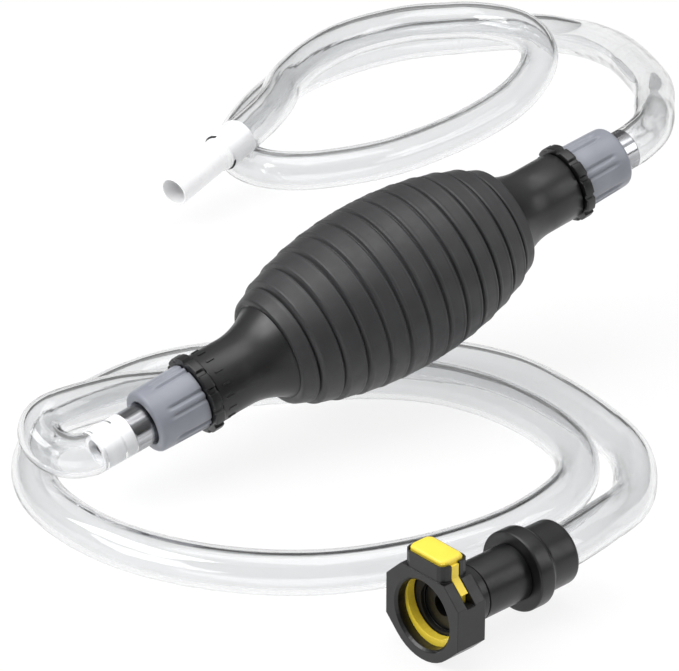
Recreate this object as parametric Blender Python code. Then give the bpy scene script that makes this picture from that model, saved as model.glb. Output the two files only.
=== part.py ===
"""Gravel vacuum siphon: a squeeze-bulb hand pump with two clear hoses.

The ribbed rubber bulb lies slantwise on the loops of its suction hose. Each neck carries a notched
fitting, a hose stem, a gripping ring and a cap nut. One ball check valve sits in the suction hose
just past its stem, the other in the fitting of the discharge neck. The suction hose ends in a quick coupling with a spring latch, the discharge hose in a plain nozzle.
"""
import math

import bmesh
import bpy
from mathutils import Matrix, Vector

MM = 0.001
GAP = 0.3 * MM  # clearance between pieces that seat on or slide in each other

# Where the assembly lies. The plan origin is the middle of the bulb and coupling on the floor.
PLAN_SHIFT = Vector((6.8, 66.9, 0.0)) * MM
BULB_HEIGHT = 49.5 * MM
BULB_TILT = math.radians(12.0)
COUPLING_MOUTH = Vector((-95.5, -149.3, 17.0)) * MM
COUPLING_YAW = math.radians(186.0)
NOZZLE_BASE = Vector((47.7, 176.8, 22.0)) * MM
NOZZLE_YAW = math.radians(197.0)
NOZZLE_DIP = math.radians(11.0)

# Hose: clear PVC, 16 mm outside and 12 mm inside
HOSE_R = 8.0 * MM
HOSE_BORE_R = 6.0 * MM
HOSE_STEP = 16.0 * MM  # between the points of a free run where it is straight
BEND_WEIGHT = 12.0 * MM  # added to the run for each radian of bend, so tight bends get more points
STRAIGHT = 1.5 * MM  # straight piece at each end of a free run

# Squeeze bulb
BULB_HALF = 84.0 * MM
BELLY_R = 33.0 * MM
BELLY_HALF = 54.0 * MM
BELLY_SPREAD = 69.2 * MM  # half length of the ellipse that the belly follows
NECK_R = 13.3 * MM
NECK_BORE_R = 9.3 * MM
NECK_LENGTH = 14.0 * MM
BULB_WALL = 3.2 * MM
GROOVES = 12
GROOVE_PITCH = 8.6 * MM
GROOVE_DEPTH = 0.8 * MM
GROOVE_WIDTH = 1.6 * MM

# Neck fitting
PLUG_LENGTH = 22.0 * MM
FLANGE_R = 15.2 * MM
FLANGE_THICK = 4.0 * MM
NOTCHES = 12
NOTCH_DEPTH = 0.9 * MM
SPIGOT_R = 9.8 * MM
SPIGOT_LENGTH = 10.0 * MM
THREAD_RISE = 0.5 * MM
THREAD_PITCH = 3.0 * MM
FLOW_R = 4.6 * MM
WASHER_THICK = 1.2 * MM
STEM_FLANGE_R = 8.3 * MM
STEM_FLANGE_THICK = 1.5 * MM
STEM_SHOWING = 7.8 * MM

# Cap nut and gripping ring
NUT_R = 12.6 * MM
NUT_TIP_R = 12.1 * MM
NUT_END_WALL = 2.0 * MM
NUT_SHOULDER = 1.5 * MM
RIB_PAIRS = 6
FLUTE_DEPTH = 0.7 * MM
FLUTE_STOP = 4.0 * MM
GRIP_LENGTH = 4.0 * MM
GRIP_WALL = 1.4 * MM
GRIP_SLIT = 1.2 * MM

# Check valve
VALVE_LENGTH = 13.7 * MM
VALVE_CHAMBER_R = 4.3 * MM
SEAT_R = 2.6 * MM
SEAT_THICK = 2.0 * MM
BALL_R = 3.5 * MM
BALL_TRAVEL = 1.5 * MM
CAGE_THICK = 2.0 * MM
CAGE_FINGER_R = 1.8 * MM

# Quick coupling: lengths run back from its mouth
HEAD_LENGTH = 12.5 * MM
HEAD_HALF_WIDTH = 17.5 * MM
HEAD_TOP = 16.0 * MM
HEAD_ROUND_R = 17.0 * MM
HEAD_CHAMFER = 7.0 * MM
HEAD_FLAT_BOTTOM = -6.5 * MM
MOUTH_R = 12.7 * MM
MOUTH_CHAMFER = 0.9 * MM
MOUTH_DEPTH = 9.5 * MM
BLOCK_HALF_WIDTH = 9.7 * MM
BLOCK_TOP = 22.0 * MM
BLOCK_ROUND = 3.0 * MM
BLOCK_ROOT = 1.0 * MM  # how far the block reaches down into the head
PAD_RIM = 0.9 * MM
PAD_THICK = 2.2 * MM
PAD_PROUD = 1.1 * MM
LATCH_FRONT = 4.4 * MM
LATCH_THICK = 3.2 * MM
LATCH_HOLE_R = 11.9 * MM
LATCH_HOLE_RISE = 1.8 * MM
LATCH_ROUND_R = 13.0 * MM
LATCH_NECK_LEFT = 8.2 * MM
LATCH_SHOULDER_HIGH = 13.4 * MM
LATCH_SHOULDER_LOW = 7.7 * MM
LATCH_TRAVEL = 2.4 * MM
SPRING_R = 1.25 * MM
SPRING_WIRE_R = 0.25 * MM
SPRING_TURNS = 5
SPRING_FLOOR = 13.9 * MM
SEAL_THICK = 1.1 * MM
NOSE_R = 8.7 * MM
STEP_R = 13.0 * MM
STEP_LENGTH = 2.8 * MM
BARREL_R = 10.3 * MM
BARREL_END = 41.5 * MM
BARREL_GROOVE_AT = 22.0 * MM
TAIL_R = 8.0 * MM
TAIL_END = 47.5 * MM
BARB_END = 60.0 * MM
COLLAR_R = 14.7 * MM
COLLAR_END = 48.5 * MM
SLEEVE_R = 11.9 * MM
SLEEVE_END = 63.0 * MM
TAIL_GRIP_AT = 50.5 * MM
TAIL_GRIP_LENGTH = 5.0 * MM
TAIL_GRIP_WALL = 1.1 * MM

# Nozzle: lengths run out from the end of the hose
NOZZLE_R = 6.4 * MM
NOZZLE_TIP_R = 6.2 * MM
NOZZLE_BORE_R = 5.4 * MM
NOZZLE_LENGTH = 31.0 * MM
NOZZLE_INSERT = 14.0 * MM
NOZZLE_RING_R = 7.3 * MM
NOZZLE_RING = 1.4 * MM

# Free runs of the two hoses, in millimetres from the middle of the bulb's shadow
SUCTION_ROUTE = (
    (-137, 2.1, 21.8), (-141.5, 7.6, 23.7), (-141.9, 14.5, 25.6), (-138.2, 20, 27.4),
    (-132.4, 22.1, 28.5), (-118, 24, 27.2), (-98, 29, 22.6), (-80, 32.5, 16.8),
    (-66, 33.5, 12.8), (-52, 31.5, 9.9), (-38, 27, 8.5), (-22, 19.5, 8.2), (-2.5, 8.3, 8.2),
    (13.5, -6.5, 8.2), (23.5, -24, 8.2), (28.2, -42.5, 8.2), (29, -62, 8.2), (24.5, -82, 8.2),
    (11.6, -98.2, 8.2), (-7.6, -106.9, 8.2), (-33, -111, 8.2), (-66, -107.5, 8.2),
    (-100, -94, 8.2), (-126.8, -69.9, 8.2), (-144, -39, 8.2), (-148.8, -6, 8.2),
    (-141.5, 20.5, 8.2), (-123, 41, 8.2), (-97.2, 52.9, 8.2), (-64, 57, 8.2), (-32, 47, 8.2),
    (0, 27.5, 8.2), (27.5, 4, 8.2), (42.6, -21, 8.2), (46, -46, 8.2), (45, -72, 8.2),
    (39.2, -96.1, 8.2), (19.7, -120.2, 9.6), (-6.4, -134.6, 14.9), (-28.5, -142.2, 17),
)
DISCHARGE_ROUTE = (
    (126, 2.5, 76), (136, 11, 75.2), (148, 25, 71.5), (170.6, 52.3, 64), (196.8, 93.8, 51),
    (217.4, 127.9, 39), (233.1, 157.2, 28), (244.2, 181.9, 19), (247.4, 200.2, 13.5),
    (245.3, 216.4, 10.2), (235.1, 228.2, 8.6), (216.2, 237.7, 8.2), (193.1, 246.4, 8.2),
    (163.5, 248.2, 8.2), (133.1, 243, 8.2), (101.9, 227.8, 8.2), (78, 209, 8.2), (68, 194, 8.2),
    (69, 180, 8.2), (77.9, 169.2, 8.2), (93.5, 161.4, 8.2), (118.8, 156, 8.2), (147.4, 157.4, 8.4),
    (169.9, 160, 10), (188.5, 163.3, 13), (204.4, 169.9, 17), (214.1, 177.4, 21),
    (218.8, 189.1, 24), (218.3, 202.4, 25), (209.5, 217.9, 24.6), (198.5, 224.9, 24.5),
    (183.2, 232, 24.5), (156.5, 234.3, 24.5), (131.2, 227.2, 24.8), (104.8, 211.3, 25.6),
    (91, 198, 26.6), (76.5, 187.5, 26.8),
)

# Stations along the pump's axis, out from the middle of the bulb
FLANGE_AT = BULB_HALF + GAP
SPIGOT_AT = FLANGE_AT + FLANGE_THICK
WASHER_AT = SPIGOT_AT + SPIGOT_LENGTH + GAP
STEM_AT = WASHER_AT + WASHER_THICK + GAP
CUFF_AT = STEM_AT + STEM_FLANGE_THICK + GAP
GRIP_AT = CUFF_AT + 1.0 * MM
NUT_AT = SPIGOT_AT + GAP
CAVITY_END = GRIP_AT + GRIP_LENGTH + GAP
NUT_END = CAVITY_END + NUT_END_WALL
STEM_END = NUT_END + STEM_SHOWING
STEM_R = HOSE_BORE_R - GAP
VALVE_AT = {"suction": STEM_END + GAP, "discharge": BULB_HALF - PLUG_LENGTH + GAP}
CUFF_END = {"suction": VALVE_AT["suction"] + VALVE_LENGTH, "discharge": STEM_END}
RING_HOLE_R = HOSE_R + GAP


# ------------------------------------------------------------------ helpers
def clear_scene():
    for item in list(bpy.data.objects):
        bpy.data.objects.remove(item, do_unlink=True)


def material(name, colour, roughness, metallic=0.0):
    made = bpy.data.materials.new(name)
    made.use_nodes = True
    shader = made.node_tree.nodes["Principled BSDF"]
    shader.inputs["Base Color"].default_value = (*colour, 1.0)
    shader.inputs["Roughness"].default_value = roughness
    shader.inputs["Metallic"].default_value = metallic
    return made


def empty(name, location, rotation=(0.0, 0.0, 0.0), parent=None):
    made = bpy.data.objects.new(name, None)
    made.location = location
    made.rotation_euler = rotation
    made.parent = parent
    bpy.context.collection.objects.link(made)
    return made


def place(name, bm, finish, parent, location=(0.0, 0.0, 0.0)):
    """Turn a bmesh into a named, shaded object under its parent empty."""
    bmesh.ops.remove_doubles(bm, verts=bm.verts, dist=0.001 * MM)
    bmesh.ops.recalc_face_normals(bm, faces=bm.faces)
    mesh = bpy.data.meshes.new(name)
    bm.to_mesh(mesh)
    bm.free()
    mesh.shade_smooth()
    mesh.set_sharp_from_angle(angle=math.radians(35.0))
    made = bpy.data.objects.new(name, mesh)
    mesh.materials.append(finish)
    made.parent = parent
    made.location = location
    bpy.context.collection.objects.link(made)
    return made


def turned(name, profile, sides, finish, parent, radius_at=None):
    """Revolve a closed (x, radius) outline about X; radius_at may shape the radius by angle."""
    bm = bmesh.new()
    rings = []
    for step in range(sides):
        angle = 2.0 * math.pi * step / sides
        ring = []
        for x, radius in profile:
            r = radius_at(x, radius, angle) if radius_at else radius
            ring.append(bm.verts.new((x, r * math.cos(angle), r * math.sin(angle))))
        rings.append(ring)
    count = len(profile)
    for step in range(sides):
        here, there = rings[step], rings[(step + 1) % sides]
        for k in range(count):
            after = (k + 1) % count
            if profile[k][1] == 0.0 and profile[after][1] == 0.0:
                continue
            corners = [here[k], here[after], there[after], there[k]]
            if profile[k][1] == 0.0:
                corners = [here[k], here[after], there[after]]
            elif profile[after][1] == 0.0:
                corners = [here[k], here[after], there[k]]
            bm.faces.new(corners)
    return place(name, bm, finish, parent)


def extruded(name, outline, front, back, finish, parent):
    """A closed solid from a (y, z) outline that runs from x = front to x = back."""
    bm = bmesh.new()
    near = [bm.verts.new((front, y, z)) for y, z in outline]
    far = [bm.verts.new((back, y, z)) for y, z in outline]
    bm.faces.new(near)
    bm.faces.new(list(reversed(far)))
    for k in range(len(outline)):
        after = (k + 1) % len(outline)
        bm.faces.new((near[k], far[k], far[after], near[after]))
    return place(name, bm, finish, parent)


def cylinder_x(name, radius, front, back, sides, finish, parent):
    outline = arc((0.0, 0.0), radius, 0.0, 360.0 - 360.0 / sides, sides)
    return extruded(name, outline, front, back, finish, parent)


def arc(centre, radius, start, end, points):
    """Points of a circular arc, angles in degrees, counter-clockwise from +Y."""
    spread = [start + (end - start) * k / (points - 1) for k in range(points)]
    return [
        (
            centre[0] + radius * math.cos(math.radians(angle)),
            centre[1] + radius * math.sin(math.radians(angle)),
        )
        for angle in spread
    ]


def rounded_rectangle(half_y, low_z, high_z, radius, points=4):
    outline = []
    corners = (
        (half_y - radius, high_z - radius, 0.0),
        (-half_y + radius, high_z - radius, 90.0),
        (-half_y + radius, low_z + radius, 180.0),
        (half_y - radius, low_z + radius, 270.0),
    )
    for y, z, start in corners:
        outline += arc((y, z), radius, start, start + 90.0, points)
    return outline


def combine(target, other, operation):
    """Add or cut another object; a cutter stays as a hidden guide."""
    modifier = target.modifiers.new(operation.lower(), "BOOLEAN")
    modifier.operation = operation
    modifier.solver = "EXACT"
    modifier.object = other
    other.hide_render = True
    other.display_type = "WIRE"


def smooth_route(points, step):
    """Points on a Catmull-Rom curve, closer in the bends, between straight first and last pieces."""
    fine = []
    for k in range(1, len(points) - 2):
        p0, p1, p2, p3 = points[k - 1 : k + 3]
        for part in range(24):
            t = part / 24
            fine.append(
                0.5 * (2 * p1 + (p2 - p0) * t + (2 * p0 - 5 * p1 + 4 * p2 - p3) * t * t
                       + (3 * p1 - p0 - 3 * p2 + p3) * t ** 3)
            )
    fine.append(points[-2])
    reach = [0.0]
    way = fine[1] - fine[0]
    for here, there in zip(fine, fine[1:]):
        reach.append(reach[-1] + (there - here).length + BEND_WEIGHT * way.angle(there - here))
        way = there - here
    count = round(reach[-1] / step)
    spaced, k = [], 0
    for n in range(count + 1):
        want = reach[-1] * n / count
        while k < len(reach) - 2 and reach[k + 1] < want:
            k += 1
        share = (want - reach[k]) / (reach[k + 1] - reach[k])
        spaced.append(fine[k].lerp(fine[k + 1], min(1.0, share)))
    return [points[0]] + spaced + [points[-1]]


def straight_piece(holder, start, way):
    """Two points on a holder's axis: where the free hose starts and the end of its straight."""
    return [holder.matrix_world @ Vector((start + way * k * STRAIGHT, 0.0, 0.0)) for k in (0, 1)]


def hose_run(name, points, finish):
    """The free run of a hose as a round tube along its route."""
    curve = bpy.data.curves.new(name, "CURVE")
    curve.dimensions = "3D"
    curve.bevel_depth = HOSE_R
    curve.bevel_resolution = 3
    curve.use_fill_caps = True
    line = smooth_route(points, HOSE_STEP)
    spline = curve.splines.new("POLY")
    spline.points.add(len(line) - 1)
    for point, at in zip(spline.points, line):
        point.co = (*at, 1.0)
    curve.materials.append(finish)
    made = bpy.data.objects.new(name, curve)
    bpy.context.collection.objects.link(made)
    return made


# ------------------------------------------------------------------ squeeze bulb
def belly_radius(x):
    return BELLY_R * math.sqrt(1.0 - (x / BELLY_SPREAD) ** 2)


def bulb_profile():
    """Outer skin with its grooves from -X to +X, then the inner skin back."""
    shoulder_r = belly_radius(BELLY_HALF)
    neck_from = BULB_HALF - NECK_LENGTH
    sweep = neck_from - BELLY_HALF
    neck = [(BULB_HALF, NECK_R)]
    for share in (1.0, 0.75, 0.5, 0.27, 0.1):
        rise = (1.0 - share) ** 2 * (shoulder_r - 1.6 * MM - NECK_R)
        neck.append((BELLY_HALF + share * sweep, NECK_R + rise))
    outer = [(-x, r) for x, r in neck]
    outer.append((-BELLY_HALF, shoulder_r - 0.5 * MM))
    first = -GROOVE_PITCH * (GROOVES - 1) / 2
    for k in range(GROOVES):
        middle = first + k * GROOVE_PITCH
        for offset, depth in ((-0.5, 0.0), (0.0, GROOVE_DEPTH), (0.5, 0.0)):
            x = middle + offset * GROOVE_WIDTH
            outer.append((x, belly_radius(x) - depth))
    outer.append((BELLY_HALF, shoulder_r - 0.5 * MM))
    outer += [(x, r) for x, r in reversed(neck)]
    throat = BULB_HALF - PLUG_LENGTH - GAP
    inner = [(BULB_HALF, NECK_BORE_R), (throat, NECK_BORE_R)]
    hollow = [BELLY_HALF * share for share in (1.0, 0.75, 0.5, 0.25, 0.0, -0.25, -0.5, -0.75, -1.0)]
    inner += [(x, belly_radius(x) - BULB_WALL) for x in hollow]
    inner += [(-throat, NECK_BORE_R), (-BULB_HALF, NECK_BORE_R)]
    return outer + inner


# ------------------------------------------------------------------ pump end pieces
def notched(x, radius, angle):
    """Scalloped rim on the flange only."""
    if radius < FLANGE_R - 1.0 * MM:
        return radius
    dip = max(0.0, math.cos(NOTCHES * angle) - 0.35) / 0.65
    return radius - NOTCH_DEPTH * dip


def fluted(x, radius, angle):
    """Pairs of narrow flutes between wide lands, fading out before the nut's outer end."""
    if radius < NUT_R - 1.0 * MM or x > NUT_END - FLUTE_STOP:
        return radius
    turn = (angle * RIB_PAIRS / (2.0 * math.pi)) % 1.0
    for middle in (0.36, 0.64):
        if abs(turn - middle) < 0.07:
            return radius - FLUTE_DEPTH
    return radius


def slit(x, radius, angle):
    """Narrow the ring's outside where its split runs, so the ring can close on the hose."""
    across = abs((angle + math.pi) % (2.0 * math.pi) - math.pi) * radius
    if across < GRIP_SLIT and radius > RING_HOLE_R + 0.4 * MM:
        return RING_HOLE_R + 0.4 * MM
    return radius


def fingered(x, radius, angle):
    """Three fingers that reach in from the cage ring to stop the ball."""
    if radius > VALVE_CHAMBER_R - 1.0 * MM:
        return radius
    turn = (angle * 3.0 / (2.0 * math.pi)) % 1.0
    return CAGE_FINGER_R if turn < 0.35 else radius


def neck_fitting(side, finish, parent):
    plug_r = NECK_BORE_R - GAP
    start = BULB_HALF - PLUG_LENGTH
    profile = [(start, plug_r - 1.0 * MM), (start + 1.5 * MM, plug_r)]
    for k in range(2):
        ridge = start + (6.0 + 6.0 * k) * MM
        profile += [(ridge, plug_r), (ridge, plug_r - 0.6 * MM)]
    profile += [(FLANGE_AT, plug_r), (FLANGE_AT, FLANGE_R), (SPIGOT_AT, FLANGE_R)]
    profile.append((SPIGOT_AT, SPIGOT_R))
    for k in range(3):
        crest = SPIGOT_AT + 2.0 * MM + k * THREAD_PITCH
        profile += [(crest, SPIGOT_R + THREAD_RISE), (crest + 0.5 * THREAD_PITCH, SPIGOT_R)]
    end = SPIGOT_AT + SPIGOT_LENGTH
    profile += [(end, SPIGOT_R - 0.8 * MM), (end, FLOW_R)]
    if side == "discharge":
        floor = VALVE_AT[side] + VALVE_LENGTH + GAP
        profile += [(floor, FLOW_R), (floor, STEM_R + GAP), (start, STEM_R + GAP)]
    else:
        profile.append((start, FLOW_R))
    turned(side + "_neck_fitting", profile, 36, finish, parent, notched)


def sealing_washer(side, finish, parent):
    back, front = WASHER_AT, WASHER_AT + WASHER_THICK
    profile = [(back, FLOW_R + GAP), (back, STEM_FLANGE_R), (front, STEM_FLANGE_R), (front, FLOW_R + GAP)]
    turned(side + "_sealing_washer", profile, 24, finish, parent)


def hose_stem(side, finish, parent):
    neck = STEM_AT + STEM_FLANGE_THICK
    profile = [
        (STEM_AT, FLOW_R), (STEM_AT, STEM_FLANGE_R), (neck, STEM_FLANGE_R), (neck, STEM_R),
        (STEM_END - 0.5 * MM, STEM_R), (STEM_END, STEM_R - 0.4 * MM), (STEM_END, FLOW_R),
    ]
    turned(side + "_hose_stem", profile, 24, finish, parent)


def grip_ring(name, start, length, wall, finish, parent):
    end = start + length
    profile = [
        (start, RING_HOLE_R), (start, RING_HOLE_R + wall), (start + 0.6 * length, RING_HOLE_R + wall),
        (end, RING_HOLE_R + 0.6 * wall), (end, RING_HOLE_R),
    ]
    turned(name, profile, 30, finish, parent, slit)


def cap_nut(side, finish, parent):
    bore = SPIGOT_R + THREAD_RISE + GAP
    cavity = RING_HOLE_R + GRIP_WALL + GAP
    hole = RING_HOLE_R + 0.2 * MM
    profile = [
        (NUT_AT, bore), (NUT_AT, NUT_R - 0.4 * MM), (NUT_AT + 0.4 * MM, NUT_R),
        (NUT_END - FLUTE_STOP + 0.01 * MM, 0.8 * NUT_TIP_R + 0.2 * NUT_R),
        (NUT_END - NUT_SHOULDER, NUT_TIP_R),
        (NUT_END, NUT_TIP_R - NUT_SHOULDER), (NUT_END, hole), (CAVITY_END, hole),
        (CAVITY_END, cavity), (STEM_AT, cavity), (STEM_AT, bore),
    ]
    turned(side + "_cap_nut", profile, 48, finish, parent, fluted)


def check_valve(side, colours, parent):
    """Cartridge, cage and ball; the seat faces the bulb on the discharge side only."""
    outer = STEM_R
    near, far = VALVE_AT[side], VALVE_AT[side] + VALVE_LENGTH
    if side == "discharge":
        seat, mouth, way = near, far, 1.0
    else:
        seat, mouth, way = far, near, -1.0
    floor = seat + way * SEAT_THICK
    profile = [
        (seat, SEAT_R + 0.5 * MM), (seat, outer), (mouth, outer),
        (mouth, VALVE_CHAMBER_R), (floor, VALVE_CHAMBER_R), (floor, SEAT_R),
    ]
    turned(side + "_valve_body", profile, 24, colours["white"], parent)
    cage = mouth - way * (CAGE_THICK + GAP)
    ring_r = VALVE_CHAMBER_R - GAP
    profile = [(cage, ring_r - 0.9 * MM), (cage, ring_r), (mouth - way * GAP, ring_r),
               (mouth - way * GAP, ring_r - 0.9 * MM)]
    turned(side + "_valve_cage", profile, 24, colours["white"], parent, fingered)
    centre = floor + way * (math.sqrt(BALL_R ** 2 - SEAT_R ** 2) + GAP)
    profile = [(-BALL_R, 0.0)]
    for angle in range(-60, 90, 30):
        profile.append((BALL_R * math.sin(math.radians(angle)), BALL_R * math.cos(math.radians(angle))))
    profile.append((BALL_R, 0.0))
    ball = turned(side + "_valve_ball", profile, 14, colours["ball"], parent)
    ball.location = (centre, 0.0, 0.0)


def hose_cuff(name, start, end, finish, parent):
    """The straight end of a hose, pushed over a stem."""
    profile = [(start, HOSE_BORE_R), (start, HOSE_R), (end, HOSE_R), (end, HOSE_BORE_R)]
    turned(name, profile, 24, finish, parent)


def pump_end(side, parent, colours):
    neck_fitting(side, colours["black"], parent)
    sealing_washer(side, colours["seal"], parent)
    hose_stem(side, colours["steel"], parent)
    grip_ring(side + "_grip_ring", GRIP_AT, GRIP_LENGTH, GRIP_WALL, colours["white"], parent)
    cap_nut(side, colours["grey"], parent)
    check_valve(side, colours, parent)
    hose_cuff(side + "_hose_cuff", CUFF_AT, CUFF_END[side], colours["hose"], parent)


# ------------------------------------------------------------------ quick coupling
def coupling_head(colours, parent):
    black, guide = colours["black"], colours["guide"]
    low = HEAD_FLAT_BOTTOM
    outline = [(HEAD_HALF_WIDTH, low), (HEAD_HALF_WIDTH, HEAD_TOP - HEAD_CHAMFER)]
    outline += [(HEAD_HALF_WIDTH - HEAD_CHAMFER, HEAD_TOP), (HEAD_CHAMFER - HEAD_HALF_WIDTH, HEAD_TOP)]
    outline += [(-HEAD_HALF_WIDTH, HEAD_TOP - HEAD_CHAMFER), (-HEAD_HALF_WIDTH, low)]
    outline += arc((0.0, 0.0), HEAD_ROUND_R, 225.0, 315.0, 11)
    head = extruded("coupling_head", outline, 0.0, -HEAD_LENGTH, black, parent)

    block = button_block("block_form", BLOCK_HALF_WIDTH, GAP, HEAD_LENGTH, BLOCK_ROUND, guide, parent)
    combine(head, block, "UNION")
    pocket = button_block("pocket_cutter", BLOCK_HALF_WIDTH - PAD_RIM, PAD_RIM, HEAD_LENGTH - PAD_RIM,
                          BLOCK_ROUND - PAD_RIM, guide, parent)
    pocket_floor = BLOCK_TOP - PAD_THICK + PAD_PROUD - LATCH_TRAVEL - GAP
    pocket.location.z = pocket_floor - HEAD_TOP + BLOCK_ROOT
    combine(head, pocket, "DIFFERENCE")
    mouth = [(1.0 * MM, 0.0), (1.0 * MM, MOUTH_R + MOUTH_CHAMFER + 1.0 * MM),
             (-MOUTH_CHAMFER, MOUTH_R), (-MOUTH_DEPTH, MOUTH_R), (-MOUTH_DEPTH, 0.0)]
    combine(head, turned("mouth_cutter", mouth, 48, guide, parent), "DIFFERENCE")
    rear = cylinder_x("rear_cutter", NOSE_R + GAP, -MOUTH_DEPTH + 1.0 * MM, -HEAD_LENGTH - 1.0 * MM, 36,
                      guide, parent)
    combine(head, rear, "DIFFERENCE")

    front = -LATCH_FRONT + GAP
    back = -LATCH_FRONT - LATCH_THICK - GAP
    side = LATCH_ROUND_R + GAP
    drop = LATCH_TRAVEL + GAP
    slot = arc((0.0, -drop), side, 180.0, 360.0, 17)
    slot += [(side, HEAD_TOP - HEAD_CHAMFER - 0.6 * MM)]
    slot += [(HEAD_HALF_WIDTH + 1.0 * MM, HEAD_TOP - HEAD_CHAMFER - 0.6 * MM)]
    slot += [(HEAD_HALF_WIDTH + 1.0 * MM, BLOCK_TOP + 1.0 * MM)]
    slot += [(-LATCH_NECK_LEFT - GAP, BLOCK_TOP + 1.0 * MM), (-LATCH_NECK_LEFT - GAP, LATCH_SHOULDER_HIGH)]
    slot += [(-side, LATCH_SHOULDER_LOW)]
    combine(head, extruded("slot_cutter", slot, front, back, guide, parent), "DIFFERENCE")
    well = spring_form("well_cutter", SPRING_R + SPRING_WIRE_R + GAP, SPRING_FLOOR, BLOCK_TOP, guide, parent)
    combine(head, well, "DIFFERENCE")


def button_block(name, half_width, front, back, corner, finish, parent):
    """A block with round upright corners on top of the head."""
    bm = bmesh.new()
    outline = rounded_rectangle(half_width, front, back, corner)
    low = [bm.verts.new((-x, y, HEAD_TOP - BLOCK_ROOT)) for y, x in outline]
    high = [bm.verts.new((-x, y, BLOCK_TOP)) for y, x in outline]
    bm.faces.new(low)
    bm.faces.new(list(reversed(high)))
    for k in range(len(outline)):
        after = (k + 1) % len(outline)
        bm.faces.new((low[k], high[k], high[after], low[after]))
    return place(name, bm, finish, parent)


def spring_form(name, radius, low, high, finish, parent):
    """An upright cylinder on the spring's axis, behind the latch plate."""
    bm = bmesh.new()
    ring = arc((0.0, 0.0), radius, 0.0, 345.0, 24)
    bottom = [bm.verts.new((x, y, low)) for x, y in ring]
    top = [bm.verts.new((x, y, high)) for x, y in ring]
    bm.faces.new(bottom)
    bm.faces.new(list(reversed(top)))
    for k in range(len(ring)):
        after = (k + 1) % len(ring)
        bm.faces.new((bottom[k], top[k], top[after], bottom[after]))
    return place(name, bm, finish, parent, (spring_x(), 0.0, 0.0))


def spring_x():
    rear_wall = HEAD_LENGTH - PAD_RIM
    plate_back = LATCH_FRONT + LATCH_THICK + GAP
    return -0.5 * (rear_wall + plate_back)


def latch_plate(colours, parent):
    """Yellow plate across the bore with its thumb pad on top; the pad hides the spring."""
    yellow, guide = colours["yellow"], colours["guide"]
    pad_low = BLOCK_TOP + PAD_PROUD - PAD_THICK
    chamfer = HEAD_HALF_WIDTH + HEAD_TOP - HEAD_CHAMFER - 0.2 * MM
    outline = arc((0.0, 0.0), LATCH_ROUND_R, 180.0, 360.0, 17)
    outline += [(LATCH_ROUND_R, HEAD_TOP - HEAD_CHAMFER + 2.4 * MM)]
    outline += [(chamfer - HEAD_TOP + 3.9 * MM, HEAD_TOP - 3.9 * MM)]
    outline += [(BLOCK_HALF_WIDTH - 0.1 * MM, chamfer - BLOCK_HALF_WIDTH)]
    outline += [(BLOCK_HALF_WIDTH - 0.1 * MM, pad_low + 0.5 * MM), (-LATCH_NECK_LEFT, pad_low + 0.5 * MM)]
    outline += [(-LATCH_NECK_LEFT, LATCH_SHOULDER_HIGH), (-LATCH_ROUND_R, LATCH_SHOULDER_LOW)]
    back = -LATCH_FRONT - LATCH_THICK
    plate = extruded("coupling_latch_plate", outline, -LATCH_FRONT, back, yellow, parent)
    hole = cylinder_x("hole_cutter", LATCH_HOLE_R, 0.0, -HEAD_LENGTH, 36, guide, parent)
    hole.location.z = LATCH_HOLE_RISE
    combine(plate, hole, "DIFFERENCE")
    rim = PAD_RIM + GAP
    bm = bmesh.new()
    outline = rounded_rectangle(BLOCK_HALF_WIDTH - rim, rim + GAP, HEAD_LENGTH - rim, BLOCK_ROUND - rim)
    inset = 0.8 * MM
    top = rounded_rectangle(BLOCK_HALF_WIDTH - rim - inset, rim + GAP + inset, HEAD_LENGTH - rim - inset,
                            BLOCK_ROUND - rim - 0.5 * inset)
    levels = [(outline, pad_low), (outline, pad_low + PAD_THICK - 0.6 * MM), (top, pad_low + PAD_THICK)]
    rows = [[bm.verts.new((-x, y, z)) for y, x in line] for line, z in levels]
    bm.faces.new(rows[0])
    bm.faces.new(list(reversed(rows[-1])))
    for lower, upper in zip(rows, rows[1:]):
        for k in range(len(lower)):
            after = (k + 1) % len(lower)
            bm.faces.new((lower[k], upper[k], upper[after], lower[after]))
    combine(plate, place("pad_form", bm, guide, parent), "UNION")


def latch_spring(colours, parent):
    """Coil spring under the thumb pad, as one swept helix."""
    low = SPRING_FLOOR + GAP + SPRING_WIRE_R
    high = BLOCK_TOP + PAD_PROUD - PAD_THICK - GAP - SPRING_WIRE_R
    steps = SPRING_TURNS * 10
    bm = bmesh.new()
    rows = []
    for step in range(steps + 1):
        turn = 2.0 * math.pi * step / 10
        outward = Vector((math.cos(turn), math.sin(turn), 0.0))
        centre = outward * SPRING_R + Vector((0.0, 0.0, low + (high - low) * step / steps))
        row = []
        for k in range(5):
            around = 2.0 * math.pi * k / 5
            offset = outward * math.cos(around) + Vector((0.0, 0.0, math.sin(around)))
            row.append(bm.verts.new(centre + offset * SPRING_WIRE_R))
        rows.append(row)
    bm.faces.new(rows[0])
    bm.faces.new(list(reversed(rows[-1])))
    for here, there in zip(rows, rows[1:]):
        for k in range(5):
            after = (k + 1) % 5
            bm.faces.new((here[k], there[k], there[after], here[after]))
    place("coupling_latch_spring", bm, colours["steel"], parent, (spring_x(), 0.0, 0.0))


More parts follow.
